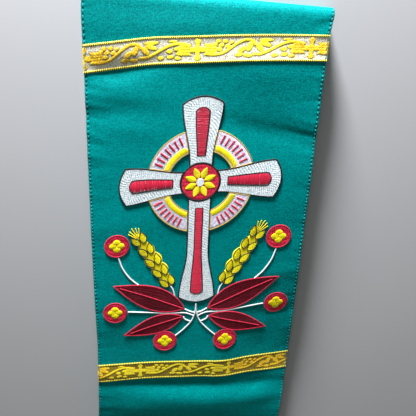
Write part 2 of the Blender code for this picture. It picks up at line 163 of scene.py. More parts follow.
def softFoldHeight(x, y):
    total = 0
    for foldX, foldY, turn, length, width, height in softFolds:
        cos, sin = math.cos(math.radians(turn)), math.sin(math.radians(turn))
        dx, dy = x - foldX, y - foldY
        total = total + height * swell(dx * cos + dy * sin, 0, length) * swell(dy * cos - dx * sin, 0, width)
    for side, pY, reach, spread, height, slant in puckers:
        inward = stole["halfWidth"] - side * x
        total = total + height * swell(inward, 0, reach) * swell(y - slant * inward, pY, spread)
    return total * smoothStep(y, lie["floorEnds"], lie["topStarts"])


def settle(x, y, z):
    # brings a point of the straight bundle to where it lies: slanted fold, sunk corner
    firstX, lastX = lie["sinkX"]
    sunk = np.clip((x - firstX) / (lastX - firstX), 0, 1) ** lie["sinkCurve"]
    sink = lie["cornerSink"] * sunk * swell(y, *lie["sinkY"])
    slant = lie["foldSlant"] * x * smoothStep(y, lie["bigFoldY"] - lie["slantLength"], lie["bigFoldY"])
    low, high = lie["flareY"]
    nearFold = smoothStep(y, lie["bigFoldY"] + low, lie["bigFoldY"] + high)
    middle, width, sway = lie["sway"]
    x = x * (1 + lie["foldFlare"] * nearFold) + lie["foldShift"] * nearFold + sway * swell(y, middle, width)
    return np.stack([x + lie["centreX"], y - slant + lie["lowerBandY"], z * (1 - sink)], 1) * mm


def drift(u, v):
    # how far the weave is drawn along the strip, out of square
    fade = 1 - smoothStep(v, stole["upperBand"], stole["upperBand"] + lie["skewFades"])
    lower, upper = [sum(height * swell(u, middle, width) for middle, width, height in bends)
                    for bends in (lowerBends, upperBends)]
    lower = lower * swell(v, stole["lowerBand"], 40)
    upper = upper + lie["upperSkew"] * u + lie["bandBow"] * u * u
    return (lie["skew"] * u + lower + upper * smoothStep(v, stole["lowerBand"], stole["upperBand"])) * fade


def layOnCloth(u, v, lift):
    y, z, outY, outZ = strip.at(v + drift(u, v))
    end = 1 - smoothStep(v, stole["hemAt"], lie["flareStarts"])
    x = u * (1 + lie["endFlare"] * end) + lie["endShift"] * end
    onTop = v < lie["bigFoldY"] + 30
    z = z + softFoldHeight(x, y) * np.maximum(outZ, 0) * onTop
    return settle(x, y + outY * lift, z + outZ * lift)


# pieces

def partOf(bm, shade=0.5):
    # points, faces and one shade for each point, read from a bmesh
    bm.verts.index_update()
    points = np.array([vert.co for vert in bm.verts])
    faces = [[vert.index for vert in face.verts] for face in bm.faces]
    bm.free()
    return points, faces, np.full(len(points), shade)


def makePiece(name, parts, finish, lay=layOnCloth, nodes=(), extra=None):
    # joins the parts, lays them on the cloth and hands the piece to the frame
    faces, count = [], 0
    for points, partFaces, shades in parts:
        faces += [[index + count for index in face] for face in partFaces]
        count += len(points)
    flat = np.vstack([part[0] for part in parts])
    mesh = bpy.data.meshes.new(name)
    mesh.from_pydata(lay(*flat.T).tolist(), [], faces)
    mesh.polygons.foreach_set("use_smooth", [True] * len(mesh.polygons))
    place = mesh.attributes.new("flatPlace", "FLOAT_VECTOR", "POINT")
    place.data.foreach_set("vector", flat.astype(np.float32).ravel())
    marks = {"shade": np.concatenate([part[2] for part in parts]), **(extra or {})}
    for markName, values in marks.items():
        mark = mesh.attributes.new(markName, "FLOAT", "POINT")
        mark.data.foreach_set("value", np.asarray(values, np.float32))
    mesh.materials.append(finish)
    mesh.update()
    piece = bpy.data.objects.new(name, mesh)
    bpy.context.scene.collection.objects.link(piece)
    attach(piece, "root")
    if nodes:
        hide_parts(*nodes)
    print(f"{name}: {len(mesh.polygons)} faces")
    return piece


def raiseFace(bm):
    # makes a flat grid a closed slab, with its new face at z 1
    for item in bmesh.ops.extrude_face_region(bm, geom=bm.faces[:])["geom"]:
        if isinstance(item, bmesh.types.BMVert):
            item.co.z = 1
    bmesh.ops.recalc_face_normals(bm, faces=bm.faces)


def gridWall(columns, rows):
    # a closed wall of cloth: a grid with its lines at the given places, z 0 on its back and 1 on its face
    bm = bmesh.new()
    bmesh.ops.create_grid(bm, x_segments=len(columns) - 1, y_segments=len(rows) - 1, size=1)
    raiseFace(bm)
    points, faces, shades = partOf(bm)
    columnIndex = np.round((points[:, 0] + 1) / 2 * (len(columns) - 1)).astype(int)
    rowIndex = np.round((points[:, 1] + 1) / 2 * (len(rows) - 1)).astype(int)
    points[:, 0] = np.array(columns)[columnIndex]
    points[:, 1] = np.array(rows)[rowIndex]
    return points, faces, shades


def spacedFromEdge(halfWidth, close, step):
    # places across a strip, close together at its edges
    middle = halfWidth - close[-1]
    inner = np.linspace(-middle, middle, max(2, round(2 * middle / step)) + 1)
    edge = halfWidth - np.array(close[:-1])
    return np.concatenate([-edge, inner, edge[::-1]])


def stitchShape():
    # one stitch, along x, from -1 to 1 each way
    bm = bmesh.new()
    turn = Matrix.Rotation(math.pi / 2, 4, "Y")
    bmesh.ops.create_uvsphere(bm, u_segments=5, v_segments=3, radius=1, matrix=turn)
    for vert in bm.verts:
        if abs(vert.co.x) < 0.9:
            vert.co.x *= 1.56
            vert.co.y *= 1.15
            vert.co.z *= 1.15
    return partOf(bm)


oneStitch = stitchShape()


def stitches(places):
    # copies of the stitch: u, v, lift, turn in radians, length, width, height, shade
    places = np.array(places, float)
    shape, shapeFaces, _ = oneStitch
    u, v, lift, turn, length, width, height, shade = [column[:, None] for column in places.T]
    x, y, z = shape[:, 0] * length / 2, shape[:, 1] * width / 2, shape[:, 2] * height / 2
    cos, sin = np.cos(turn), np.sin(turn)
    points = np.stack([u + x * cos - y * sin, v + x * sin + y * cos, lift + z], 2).reshape(-1, 3)
    step = len(shape)
    faces = [[index + step * n for index in face] for n in range(len(places)) for face in shapeFaces]
    return points, faces, np.repeat(places[:, 7], step)


def rope(line, radius, lift, strands=2, pitch=2.2, cell=0.3, around=8, depth=0.25, squash=1.0):
    # a cord along a line of u, v points: a rolled grid with a groove between its twisted strands, or, with
    # no strands, a row of small loops
    line = np.array(line, float)
    lengths = np.concatenate([[0], np.cumsum(np.hypot(*np.diff(line, axis=0).T))])
    steps = max(4, round(lengths[-1] / cell))
    bm = bmesh.new()
    bmesh.ops.create_grid(bm, x_segments=steps, y_segments=around, size=1)
    for vert in bm.verts:
        turn = (vert.co.y + 1) * math.pi
        vert.co = ((vert.co.x + 1) / 2 * lengths[-1], math.cos(turn), math.sin(turn))
    bmesh.ops.remove_doubles(bm, verts=bm.verts, dist=0.0001)
    bmesh.ops.holes_fill(bm, edges=[edge for edge in bm.edges if edge.is_boundary], sides=0)
    bmesh.ops.recalc_face_normals(bm, faces=bm.faces)
    points, faces, _ = partOf(bm)
    along, cos, sin = points.T
    turn = np.arctan2(sin, cos)
    twist = (turn - 2 * math.pi * along / pitch) * strands / 2
    ridge = np.abs(np.cos(twist if strands else math.pi * along / pitch))
    end = smoothStep(np.minimum(along, lengths[-1] - along), -0.1, 0.5)
    size = radius * (1 - depth + depth * ridge) * end
    u, v = [np.interp(along, lengths, column) for column in line.T]
    ahead, behind = [[np.interp(along + d, lengths, c) for c in line.T] for d in (0.2, -0.2)]
    du, dv = ahead[0] - behind[0], ahead[1] - behind[1]
    norm = np.maximum(np.hypot(du, dv), 1e-6)
    laid = np.stack([u - dv / norm * cos * size, v + du / norm * cos * size, lift + sin * size * squash], 1)
    return laid, faces, ridge


def smoothLine(points, steps=12):
    # a smooth curve through a few points
    p = np.array([points[0], *points, points[-1]], float)
    line = []
    for a, b, c, d in zip(p, p[1:], p[2:], p[3:]):
        for t in np.arange(steps) / steps:
            line.append(0.5 * (2 * b + (c - a) * t + (2 * a - 5 * b + 4 * c - d) * t**2
                               + (3 * b - a - 3 * c + d) * t**3))
    return np.array([*line, p[-1]])


# shader tools

class Wire:
    # wraps a socket, so that shader maths is written as plain Python
    def __init__(self, finish, socket):
        self.finish, self.socket = finish, socket

    def maths(self, operation, *values):
        return self.finish.add("ShaderNodeMath", {"operation": operation}, dict(enumerate(values)))

    def __add__(self, other):
        return self.maths("ADD", self, other)

    def __sub__(self, other):
        return self.maths("SUBTRACT", self, other)

    def __rsub__(self, other):
        return self.maths("SUBTRACT", other, self)

    def __mul__(self, other):
        return self.maths("MULTIPLY", self, other)

    def __truediv__(self, other):
        return self.maths("DIVIDE", self, other)

    def sine(self):
        return self.maths("SINE", self)

    def between(self, low, high):
        # 0 below low, 1 above high, smooth in between
        return self.finish.add("ShaderNodeMapRange", {"interpolation_type": "SMOOTHSTEP"},
                               {"Value": self, "From Min": low, "From Max": high})

    __radd__ = __add__


class Finish:
    # a material built on its Principled shader, whose unchanging values are given by socket name
    def __init__(self, name, **constants):
        self.material = bpy.data.materials.new(name)
        self.material.use_nodes = True
        self.tree = self.material.node_tree
        self.shader = self.tree.nodes["Principled BSDF"]
        for socketName, value in constants.items():
            self.shader.inputs[socketName.replace("_", " ")].default_value = value

    def plug(self, socket, value):
        if isinstance(value, Wire):
            self.tree.links.new(value.socket, socket)
        elif hasattr(value, "__len__") and len(value) == 3 and socket.type == "RGBA":
            socket.default_value = (*value, 1)
        else:
            socket.default_value = value

    def add(self, kind, settings, values, out=0):
        node = self.tree.nodes.new(kind)
        for name, value in settings.items():
            setattr(node, name, value)
        for key, value in values.items():
            self.plug(node.inputs[key], value)
        return Wire(self, node.outputs[out])

    def mark(self, name):
        return self.add("ShaderNodeAttribute", {"attribute_name": name}, {}, out=2)

    def place(self, *scale):
        # where a point lies on the flat strip, in mm, stretched by the given factors
        where = self.add("ShaderNodeAttribute", {"attribute_name": "flatPlace"}, {}, out=1)
        return self.add("ShaderNodeVectorMath", {"operation": "MULTIPLY"},
                        {0: where, 1: scale or (1, 1, 1)})

    def noise(self, where, scale, detail=2.0):
        return self.add("ShaderNodeTexNoise", {}, {"Vector": where, "Scale": scale, "Detail": detail})

    def parts(self, where):
        return [self.add("ShaderNodeSeparateXYZ", {}, {"Vector": where}, out=n) for n in range(3)]

    def blend(self, factor, first, second):
        return self.add("ShaderNodeMix", {"data_type": "RGBA"}, {0: factor, 6: first, 7: second}, out=2)

    def finished(self, colour, roughness, height=None, strength=0.5, distance=0.0002, metallic=None):
        self.plug(self.shader.inputs["Base Color"], colour)
        self.plug(self.shader.inputs["Roughness"], roughness)
        if metallic is not None:
            self.plug(self.shader.inputs["Metallic"], metallic)
        if height is not None:
            bump = self.add("ShaderNodeBump", {},
                            {"Height": height, "Strength": strength, "Distance": distance})
            self.tree.links.new(bump.socket, self.shader.inputs["Normal"])
        return self.material


# cloth

cloth = {
    "light": (0.0, 0.35, 0.342), "dark": (0.0, 0.127, 0.125), "twillPitch": 0.42, "twillTurn": 63,
    "edgeRound": 0.95, "edgeDrop": 0.55, "stitchIn": 1.35, "stitchGroove": 0.16, "stitchPitch": 2.75,
    "scallop": 0.13, "scallopReach": 1.6, "pinch": 0.34, "pinchReach": 0.75, "pinchLevel": 0.5,
    "columnStep": 2.1, "rowStep": 0.82, "hiddenRows": 56,
}


def stitchPhase(v):
    # counts the edge stitches along the strip, whose length varies a little
    return v / cloth["stitchPitch"] + 0.5 * np.sin(v / 23) + 0.25 * np.sin(v / 7.1)


def greenGabardine():
    finish = Finish("greenGabardine", Sheen_Weight=0.16, Sheen_Roughness=0.4, Sheen_Tint=(0.0, 0.9, 0.95, 1),
                    Specular_IOR_Level=0.1, Specular_Tint=(0.1, 1, 1, 1))
    turn, pitch = math.radians(cloth["twillTurn"]), cloth["twillPitch"]
    u, v, _ = finish.parts(finish.place())
    twill = ((u * math.cos(turn) + v * math.sin(turn)) * (2 * math.pi / pitch)).sine() * 0.5 + 0.5
    grain = finish.noise(finish.place(1.0, 0.85, 1), 1.45, 3)
    slubs = finish.noise(finish.place(0.25, 2.2, 1), 0.9, 1)
    cloud = finish.noise(finish.place(), 0.035, 2)
    tone = grain.between(0.32, 0.68) * 0.55 + slubs.between(0.3, 0.7) * 0.2 + cloud * 0.1 + twill * 0.15
    colour = finish.blend(tone, cloth["dark"], cloth["light"])
    # painted shade: near-black dots at the needle holes along the row of edge stitches
    paintedHoleShade = ((finish.mark("stitchPhase") * (2 * math.pi)).sine() * 0.5 + 0.5).between(0.62, 0.95)
    beside = u.maths("ABSOLUTE", u) - (stole["halfWidth"] - cloth["stitchIn"])
    row = 1 - beside.maths("ABSOLUTE", beside).between(0.15, 0.5)
    colour = finish.blend(paintedHoleShade * row * 0.85, colour, (0.0, 0.02, 0.022))
    height = twill * 0.4 + grain * 1.1 + slubs * 0.4
    return finish.finished(colour, 0.52 + grain * 0.16, height, 0.55, 0.0003)


def wallLift(edge, face, wall):
    # rounds a folded edge on both faces and sinks the face along its row of stitches
    near = np.clip(1 - edge / cloth["edgeRound"], 0, 1)
    drop = cloth["edgeDrop"] * (1 - np.sqrt(1 - near**2))
    groove = cloth["stitchGroove"] * swell(edge, cloth["stitchIn"], 0.4)
    return np.where(face > 0.5, wall - drop - groove, drop)


def frontPanel(finish):
    close = [0, 0.1, 0.3, 0.6, 0.95, 1.35, 1.75, 2.3, 3.2, 4.5]
    columns = spacedFromEdge(stole["halfWidth"], close, cloth["columnStep"])
    end = strip.lengths[-1]
    turnEnds = lie["bigFoldY"] + math.pi * lie["bigFoldTurn"]
    rows = np.concatenate([stole["hemAt"] + np.array([0, 0.3, 0.7, 1.2]),
                           np.arange(stole["hemAt"] + 2, turnEnds, cloth["rowStep"]),
                           np.linspace(turnEnds + 2, end, cloth["hiddenRows"])])
    points, faces, shades = gridWall(columns, rows)
    u, v, face = points.T
    edge = np.minimum(stole["halfWidth"] - np.abs(u), v - stole["hemAt"])
    phase = stitchPhase(v)
    hole = 0.5 + 0.5 * np.sin(2 * math.pi * phase)
    points[:, 0] -= np.sign(u) * cloth["scallop"] * hole * swell(edge, 0, cloth["scallopReach"])
    # each stitch pinches the wall together, about a level a little above its back
    lifted = wallLift(edge, face, stole["wall"])
    pinch = cloth["pinch"] * (hole - 0.35) * swell(edge, cloth["stitchIn"], cloth["pinchReach"])
    points[:, 2] = lifted - (lifted - cloth["pinchLevel"]) * pinch
    piece = makePiece("panelCloth", [(points, faces, shades)], finish, nodes=["front_panel"],
                      extra={"stitchPhase": phase})
    flatLength = end - stole["hemAt"]
    flatLength * mm
    print(f"panel {flatLength:.1f} mm long")


# the strip's hidden stretch, in the order in which it runs on from the panel's tail
inside = {
    "halfWidth": 72.6, "wall": 1.75,
    "passes": [
        {"low": 6.8, "start": -8.95, "shift": 0.3}, {"low": 9.1, "start": 251.2, "shift": -0.6},
        {"low": 11.4, "start": -24.4, "shift": 0.9}, {"low": 4.35, "start": 254.0, "shift": -0.9},
        {"low": 2.25, "start": -17.9, "shift": 0.6}, {"low": 13.4, "start": 258.0, "shift": -1.1},
    ],
    "end": -22.0,
}


def insideLine():
    line, half = [], inside["wall"] / 2
    for number, leg in enumerate(inside["passes"]):
        z = leg["low"] + half
        following = inside["passes"][number + 1:number + 2]
        endY = following[0]["start"] if following else inside["end"]
        line += [(leg["start"], z), (endY, z)]
        if following:
            line += turnBetween(endY, z, following[0]["low"] + half, 1 if endY > 0 else -1)
    return line


def foldedInside(finish):
    course = Course(insideLine())
    close = [0, 0.15, 0.4, 0.8, 1.3, 2.0, 3.5]
    columns = spacedFromEdge(inside["halfWidth"], close, 6)
    rows = np.unique(np.concatenate([course.lengths, np.arange(0, course.lengths[-1], 5)]))
    points, faces, shades = gridWall(columns, rows)
    u, v, face = points.T
    edge = np.minimum(inside["halfWidth"] - np.abs(u), course.lengths[-1] - v)
    points[:, 2] = wallLift(edge, face, inside["wall"]) - inside["wall"] / 2

    def layInside(u, v, lift):
        y, z, outY, outZ = course.at(v)
        heights = sorted((leg["low"], leg["shift"]) for leg in inside["passes"])
        shift = np.interp(z, [low for low, _ in heights], [move for _, move in heights])
        sway = 0.35 * np.sin(y / 37 + z * 1.9) + 0.2 * np.sin(y / 17 + z)
        return settle(u + shift + sway, y + outY * lift, z + outZ * lift)

    piece = makePiece("foldedInside", [(points, faces, shades)], finish, layInside,
                      nodes=["folded_layers"])
    course.lengths[-1] * mm
    print(f"inside {course.lengths[-1]:.1f} mm long")


topstitch = {"length": 1.85, "width": 0.46, "height": 0.5, "bandLift": 2.5}


def edgeStitches(finish):
    places = []
    along = np.arange(stole["hemAt"] + 2, lie["bigFoldY"] + 20, 0.05)
    phases = stitchPhase(along)
    middles = np.interp(np.arange(math.ceil(phases[0]), phases[-1]) - 0.25, phases, along)
    for side in sides:
        for v in middles:
            onBand = min(abs(v - stole["lowerBand"]), abs(v - stole["upperBand"])) < stole["bandWidth"] / 2
            lift = topstitch["bandLift"] if onBand else stole["wall"] - cloth["stitchGroove"] + 0.14
            u = side * (stole["halfWidth"] - cloth["stitchIn"])
            places.append((u, v, lift, math.pi / 2 + dice.normal(0, 0.08), topstitch["length"],
                           topstitch["width"], topstitch["height"], dice.random()))
    for u in np.arange(-72, 72, cloth["stitchPitch"]):
        places.append((u, stole["hemAt"] + cloth["stitchIn"], stole["wall"] - 0.08, dice.normal(0, 0.06),
                       topstitch["length"], topstitch["width"], topstitch["height"], dice.random()))
    makePiece("edgeStitches", [stitches(places)], finish)


def sewingThread():
    finish = Finish("sewingThread", Sheen_Weight=0.2, Specular_IOR_Level=0.3)
    colour = finish.blend(finish.mark("shade"), (0.0, 0.17, 0.17), (0.01, 0.46, 0.46))
    return finish.finished(colour, 0.45 + finish.noise(finish.place(), 2.0) * 0.2)


# galloon

band = {
    "low": 1.83, "ground": 0.5, "relief": 0.2, "cell": 0.34, "repeat": 69.5, "grow": 0.24,
    "cordIn": 0.8, "cordRadius": 0.82, "cordLift": 2.2, "cordPitch": 1.3, "vineWidth": 1.5,
    "ribPitch": 0.62, "pickPitch": 0.5,
}
# one repeat of the woven ornament, charted from the small cross: p, q, length, width, turn
ovals = [
    (0, 4.6, 3.3, 3.2, 90), (0, -4.6, 3.3, 3.2, 90), (2.9, 0, 3.1, 3.1, 0), (-2.9, 0, 3.1, 3.1, 0),
    (0, 0, 9, 2.5, 90), (0, 0, 7, 2.4, 0), (0, 0, 3.6, 3.6, 0),
    (10.4, 2.6, 2.8, 2.2, 20), (12.6, 4.5, 2.8, 2.1, -10), (14.4, 2.1, 2.8, 2.2, 10),
    (16.8, 4.3, 2.8, 2.1, -8), (18.2, 1.5, 2.7, 2.1, 15), (13.4, -0.3, 3, 2.1, 0), (20.6, 3.6, 2.4, 1.7, 24),
    (31.6, 1.0, 5.4, 3.2, 68), (27.2, -0.6, 4.8, 2.8, 32), (25.4, -3.6, 4.4, 2.2, 6),
    (30.6, -4.1, 4.6, 2.0, -8), (41.4, 4.6, 7.4, 2.1, 0), (41.2, 2.2, 6.6, 2.4, -18),
    (37.8, 0.3, 5.8, 2.9, -48), (47.0, -4.2, 3.3, 2.1, 0), (53.0, -3.8, 3.6, 2.1, 8),
    (52.4, -0.7, 3.3, 2.2, -12), (56.9, 0.7, 3.3, 2.2, 10), (58.2, -2.0, 2.9, 2.2, 0),
    (57.6, -4.6, 3.0, 1.8, 0), (54.6, 5.1, 4.2, 1.1, 4),
]
ovals += [(side * (5.2 + 1.75 * n), rise * 1.7, 2.3, 1.05, -side * rise * 32)
          for n in range(4) for side in sides for rise in (-1.35, -0.45, 0.45, 1.35)]
vines = [
    [(5.5, -2.5), (10, -3.1), (15.5, -2.3), (20, 0.3), (24.5, 3.2), (29, 4.9), (33, 4.5), (35, 2.4)],
    [(34.5, -3.5), (39, -3.3), (44, -1.3), (49.5, 1.5), (54.5, 3.3), (60, 3.6), (64.5, 2.4)],
]


def nearestRepeat(p):
    return (p + band["repeat"] / 2) % band["repeat"] - band["repeat"] / 2


def ornament(p, q):
    # how far inside a motif each point lies, in mm, negative outside
    deep = np.full(len(p), -9.0)
    for middleP, middleQ, length, width, turn in ovals:
        cos, sin = math.cos(math.radians(turn)), math.sin(math.radians(turn))
        dp, dq = nearestRepeat(p - middleP), q - middleQ
        along, across = dp * cos + dq * sin, dq * cos - dp * sin
        ring = np.hypot(along / length * 2, across / width * 2)
        deep = np.maximum(deep, (1 - ring) * width / 2)
    for vine in vines:
        line = smoothLine(vine, 6)
        for a, b in zip(line, line[1:]):
            dp, dq, (runP, runQ) = nearestRepeat(p - a[0]), q - a[1], b - a
            t = np.clip((dp * runP + dq * runQ) / max(np.hypot(runP, runQ), 1e-6) ** 2, 0, 1)
            deep = np.maximum(deep, band["vineWidth"] / 2 - np.hypot(dp - t * runP, dq - t * runQ))
    return deep


def galloon(name, node, at, crossAt, finish, cordFinish, tiltShadeZones):
    half, across = stole["halfWidth"], stole["bandWidth"] / 2 - band["cordIn"] * 0.6
    columns = np.linspace(-half, half, round(2 * half / band["cell"]) + 1)
    rows = np.linspace(-across, across, round(2 * across / band["cell"]) + 1)
    points, faces, shades = gridWall(columns, rows)
    u, q, face = points.T
    deep = ornament(u - crossAt, q) + band["grow"]
    dome = np.sqrt(np.clip(deep / 0.45, 0, 1))
    ends = smoothStep(half - np.abs(u), 0, 0.9)
    top = band["low"] + (band["ground"] + band["relief"] * dome) * (0.35 + 0.65 * ends)
    points = np.stack([u, at + q, np.where(face > 0.5, top, band["low"])], 1)
    # painted shade: over the given stretches towards each band's ends the gold is darker and more orange,
    # where the band tilts from the light
    tiltShade = sum(smoothStep(u, low, low + 8) * (1 - smoothStep(u, high - 8, high))
                 for low, high in tiltShadeZones)
    piece = makePiece(name, [(points, faces, shades)], finish, nodes=[node],
                      extra={"deep": np.clip(deep, -1, 1), "tiltShade": tiltShade})
    cords = []
    for side in sides:
        v = at + side * (stole["bandWidth"] / 2 - band["cordIn"])
        cords.append(rope([(-half, v), (half, v)], band["cordRadius"], band["cordLift"], strands=0,
                          pitch=band["cordPitch"], cell=0.22, depth=0.4, squash=0.65))
    makePiece(name + "Cords", cords, cordFinish)


def galloonWeave(name, groundLight, groundDark, darkShare):
    finish = Finish(name, Specular_IOR_Level=0.5, Sheen_Weight=1.0, Sheen_Roughness=0.35,
                    Sheen_Tint=(1, 0.88, 0.4, 1))
    deep, tiltShade = finish.mark("deep"), finish.mark("tiltShade")
    # the outline mask is a painted shadow: a thin dark brown line round each gold motif's edge
    gold, outline = deep.between(-0.1, 0.12), deep.between(-0.42, -0.12) * (1 - deep.between(-0.02, 0.22))
    u, v, _ = finish.parts(finish.place())
    wefts = v / band["ribPitch"]
    ribs = 1 - wefts.maths("FRACT", wefts)
    picks = (u * (2 * math.pi / band["pickPitch"])).sine() * 0.5 + 0.5
    speckle = finish.noise(finish.place(1.7, 0.95, 1), 1.0, 2)
    patches = finish.noise(finish.place(0.6, 1.3, 1), 0.32, 2)
    dark = speckle.between(0.52, 0.62) * (darkShare + patches.between(0.45, 0.6) * 0.5)
    ground = finish.blend(dark, groundLight, groundDark)
    glint = finish.noise(finish.place(1.5, 1.1, 1), 1.3, 2).between(0.36, 0.62)
    yellow = finish.blend(glint, (1.0, 0.68, 0.0), (1.0, 0.88, 0.03))
    # painted shade: darker, more orange gold for the stretches where the band tilts from the light
    shadedGold = finish.blend(glint, (0.75, 0.32, 0.0), (1.0, 0.74, 0.02))
    colour = finish.blend(gold, ground, finish.blend(tiltShade, yellow, shadedGold))
    colour = finish.blend(outline * 0.6, colour, (0.24, 0.13, 0.0))
    height = ribs * (gold * 0.35 + 0.15) + picks * (1 - gold) * 0.3 + speckle * 0.7 + glint * 0.25
    return finish.finished(colour, 0.5 - gold * 0.14, height, 1.0, 0.0003, metallic=gold * 0.08)


def goldCord():
    finish = Finish("goldCord", Specular_IOR_Level=0.5, Metallic=0.08)
    # painted shade: the grooves between the cord's loops are coloured dark brown, its crests yellow
    ridge = finish.mark("shade").between(0.3, 0.8)
    flecks = finish.noise(finish.place(), 1.6, 2).between(0.35, 0.65)
    top = finish.blend(flecks, (1.0, 0.7, 0.0), (1.0, 0.98, 0.16))
    return finish.finished(finish.blend(ridge, (0.1, 0.04, 0.0), top), 0.42 + flecks * 0.1)


# embroidery

sewing = {"low": 1.83, "baseTop": 2.62, "stitchTop": 2.72, "cell": 0.8, "puffed": 1.6, "pressed": 0.66}
cross = {
    "v": 155, "arms": {"right": (0, 50), "top": (90, 52), "left": (180, 50), "foot": (270, 88)},
    "halfWidth": 7.5, "flare": 5.5, "flareLength": 38, "bulge": 4.5, "rosette": 13, "ring": (22, 36),
    "gap": 0.45, "stitchTurn": 52,
}
# short crossed stitches on the cross, and the slimmer bar inside each arm
silverFill = {"pitch": 0.62, "longest": 1.9, "height": 0.55, "loose": 0.16, "shade": (0.0, 1.0)}
inlay = {"from": 18.5, "short": 4.6, "share": 0.34, "bulge": 2.2, "top": 3.02}
ringDetail = {
    "fanRadius": 29, "bandRadius": 24.6, "bandWidth": 4.2, "bandTop": 2.95,
    "rays": 7, "rayReach": (28.2, 34), "rayMargin": 0.45, "rayWidth": 1.3, "rayTop": 3.02,
}
rosette = {"petals": 8, "petalLength": 8.2, "petalWidth": 4.4, "petalsFrom": 2.9, "heart": 2.8}
# beside the cross's foot: x, v, turn, length, width of each, made on the right and mirrored
spray = {
    "leaf_long": (9, 57, 24, 56, 19), "leaf_short": (10, 50, -18, 46, 15), "wheat_ear": (19, 77, 60, 50, 13),
    "flower_high": (57, 112, 0, 0, 17), "flower_side": (60, 57, 0, 0, 17), "flower_low": (23, 28.5, 0, 0, 17),
}
leafSlant = 52
ear = {
    "pairs": 5, "grainLength": 10.2, "grainWidth": 4.9, "lean": 17, "stitchLean": 79,
    "awnLeans": (-26, -13, 0, 13, 26), "awnLength": 8.5,
}
flowerHeart = {"lobe": 2.5, "lobeAt": 2.75}
# each thread's darker and lighter colour, and the slot of its finish
threadColours = {
    "silver": ((0.6, 0.72, 0.76), (0.96, 1.0, 1.0), "silver_thread"),
    "lilac": ((0.6, 0.55, 0.72), (0.93, 0.89, 1.0), "lilac_thread"),
    "crimson": ((0.42, 0.006, 0.028), (0.86, 0.03, 0.09), "crimson_thread"),
    "darkRed": ((0.05, 0.0, 0.003), (0.2, 0.0, 0.013), "dark_red_thread"),
    "yellow": ((1.0, 0.76, 0.0), (1.0, 0.93, 0.01), "yellow_thread"),
    "gold": ((0.4, 0.24, 0.02), (0.75, 0.52, 0.08), "yellow_thread"),
    "black": ((0.003, 0.003, 0.004), (0.018, 0.018, 0.022), "black_thread"),
    "white": ((0.75, 0.76, 0.82), (1.0, 1.0, 1.0), "silver_thread"),
}
threadDetails = {"silver": {"specks": (0.08, 0.32, 0.34)}, "black": {"roughness": 0.36}}
threads = {}


def thread(name, roughness=0.42, specks=None):
    # shiny embroidery thread, a little lighter or darker from stitch to stitch
    dark, light, _ = threadColours[name]
    finish = Finish(name + "Thread", Sheen_Weight=0.8, Sheen_Roughness=0.35, Sheen_Tint=(*light, 1),
                    Specular_IOR_Level=0.5, Anisotropic=0.3)
    fibre = finish.noise(finish.place(), 3.2, 2)
    tone = finish.mark("shade") * 0.75 + fibre.between(0.3, 0.7) * 0.35
    colour = finish.blend(tone, dark, light)
    if specks:
        chips = finish.noise(finish.place(), 1.25, 3).between(0.6, 0.68)
        colour = finish.blend(chips * 0.8, colour, specks)
    return finish.finished(colour, roughness + fibre * 0.12, fibre, 0.4, 0.0001)


def layPressed(u, v, lift):
    # thread is pressed down a little into the cloth
    return layOnCloth(u, v, stole["wall"] + (lift - stole["wall"]) * sewing["pressed"])


def sewn(name, parts, colour, nodes=()):
    makePiece(name, parts, threads[colour], layPressed, nodes)


def motif(name, node, outline, fill, colour, top=sewing["baseTop"]):
    # a padded shape under its stitches, which stands for a solid
    sewn(name, [padding(outline, top), stitches(fill)], colour, [node])


def turned(points, turn, u, v):
    cos, sin = math.cos(math.radians(turn)), math.sin(math.radians(turn))
    return np.array([(u + a * cos - b * sin, v + a * sin + b * cos) for a, b in points])


def mirrored(points):
    return np.array([(-u, v) for u, v in points])[::-1]


def placed(side, points, turn, u, v):
    # set on the right, or its mirror image on the left
    shape = turned(points, turn, u, v)
    return shape if side > 0 else mirrored(shape)


def onCircle(radius, angles):
    return [(radius * math.cos(a), radius * math.sin(a)) for a in angles]


def discOutline(radius, steps=40):
    return onCircle(radius, np.arange(steps) * 2 * math.pi / steps)


def arc(start, end, radius, steps):
    low, high = math.atan2(start[1], start[0]), math.atan2(end[1], end[0])
    return onCircle(radius, np.linspace(low, high, steps + 1)[1:-1])


def bulgedEnd(length, bulge, halfWidth, places):
    return [(length + bulge * (1 - w * w), halfWidth * w) for w in places]


def armHalfWidth(along, length):
    flare = float(smoothStep(along, length - cross["flareLength"], length))
    return cross["halfWidth"] + cross["flare"] * flare


def armOutline(length):
    radius = cross["rosette"] + cross["gap"]
    spread = math.asin(cross["halfWidth"] / radius)
    inner = onCircle(radius, np.linspace(spread, -spread, 9))
    along = np.linspace(inner[0][0], length, 14)[1:-1]
    end = bulgedEnd(length, cross["bulge"], cross["halfWidth"] + cross["flare"], np.linspace(-1, 1, 17))
    lower = [(a, -armHalfWidth(a, length)) for a in along]
    upper = [(a, armHalfWidth(a, length)) for a in along[::-1]]
    return inner + lower + end + upper


def inlayOutline(length):
    # flared as the arm is
    far = length - inlay["short"]
    along = np.linspace(inlay["from"], far, 12)
    wide = [inlay["share"] * armHalfWidth(a * length / far, length) for a in along]
    end = bulgedEnd(far, inlay["bulge"], wide[-1], np.linspace(-1, 1, 9)[1:-1])
    return [*zip(along, np.negative(wide)), *end, *zip(along[::-1], wide[::-1])]


def quarterOutline(firstLength, nextLength):
    # one quarter of the ring, between two arms
    edges = []
    for length in (firstLength, nextLength):
        reach = [math.sqrt(r**2 - (armHalfWidth(r, length) + cross["gap"]) ** 2) for r in cross["ring"]]
        edges.append([(a, armHalfWidth(a, length) + cross["gap"]) for a in np.linspace(*reach, 8)])
    first, last = edges[0], [(b, a) for a, b in edges[1]]
    outer = arc(first[-1], last[-1], cross["ring"][1], 20)
    inner = arc(last[0], first[0], cross["ring"][0], 12)
    return first + outer + last[::-1] + inner


